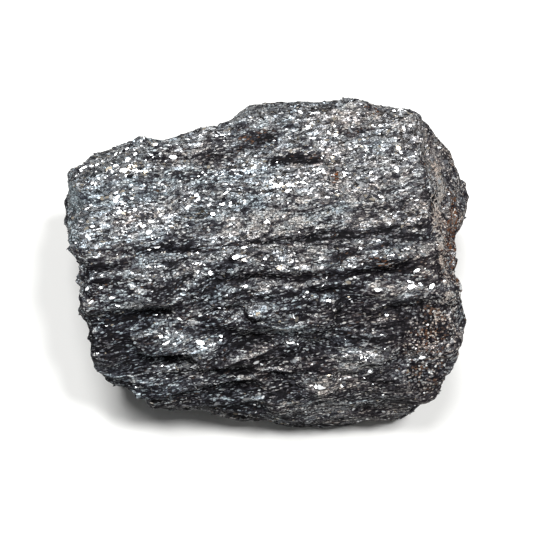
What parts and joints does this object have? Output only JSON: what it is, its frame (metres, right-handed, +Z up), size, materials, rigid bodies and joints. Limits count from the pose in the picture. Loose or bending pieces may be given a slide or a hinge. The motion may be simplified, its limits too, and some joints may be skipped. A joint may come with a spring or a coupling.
{
  "type": "micaceous hematite specimen",
  "caption": "Blocky hand specimen of foliated, glittering micaceous hematite, with ledges and recesses on its broken faces, resting on a flat underside.",
  "frame": {"origin": "on the resting plane, under the middle of the stone's bounding box", "axes": "+X along the stone's length, +Y from its long broken front to its back, +Z up from the flat face it rests on"},
  "size_m": [0.0616, 0.0454, 0.0287],
  "materials": {
    "hematite": "satin"
  },
  "bodies": {
    "root": {"hematite_stone": "hematite"}
  },
  "joints": []
}
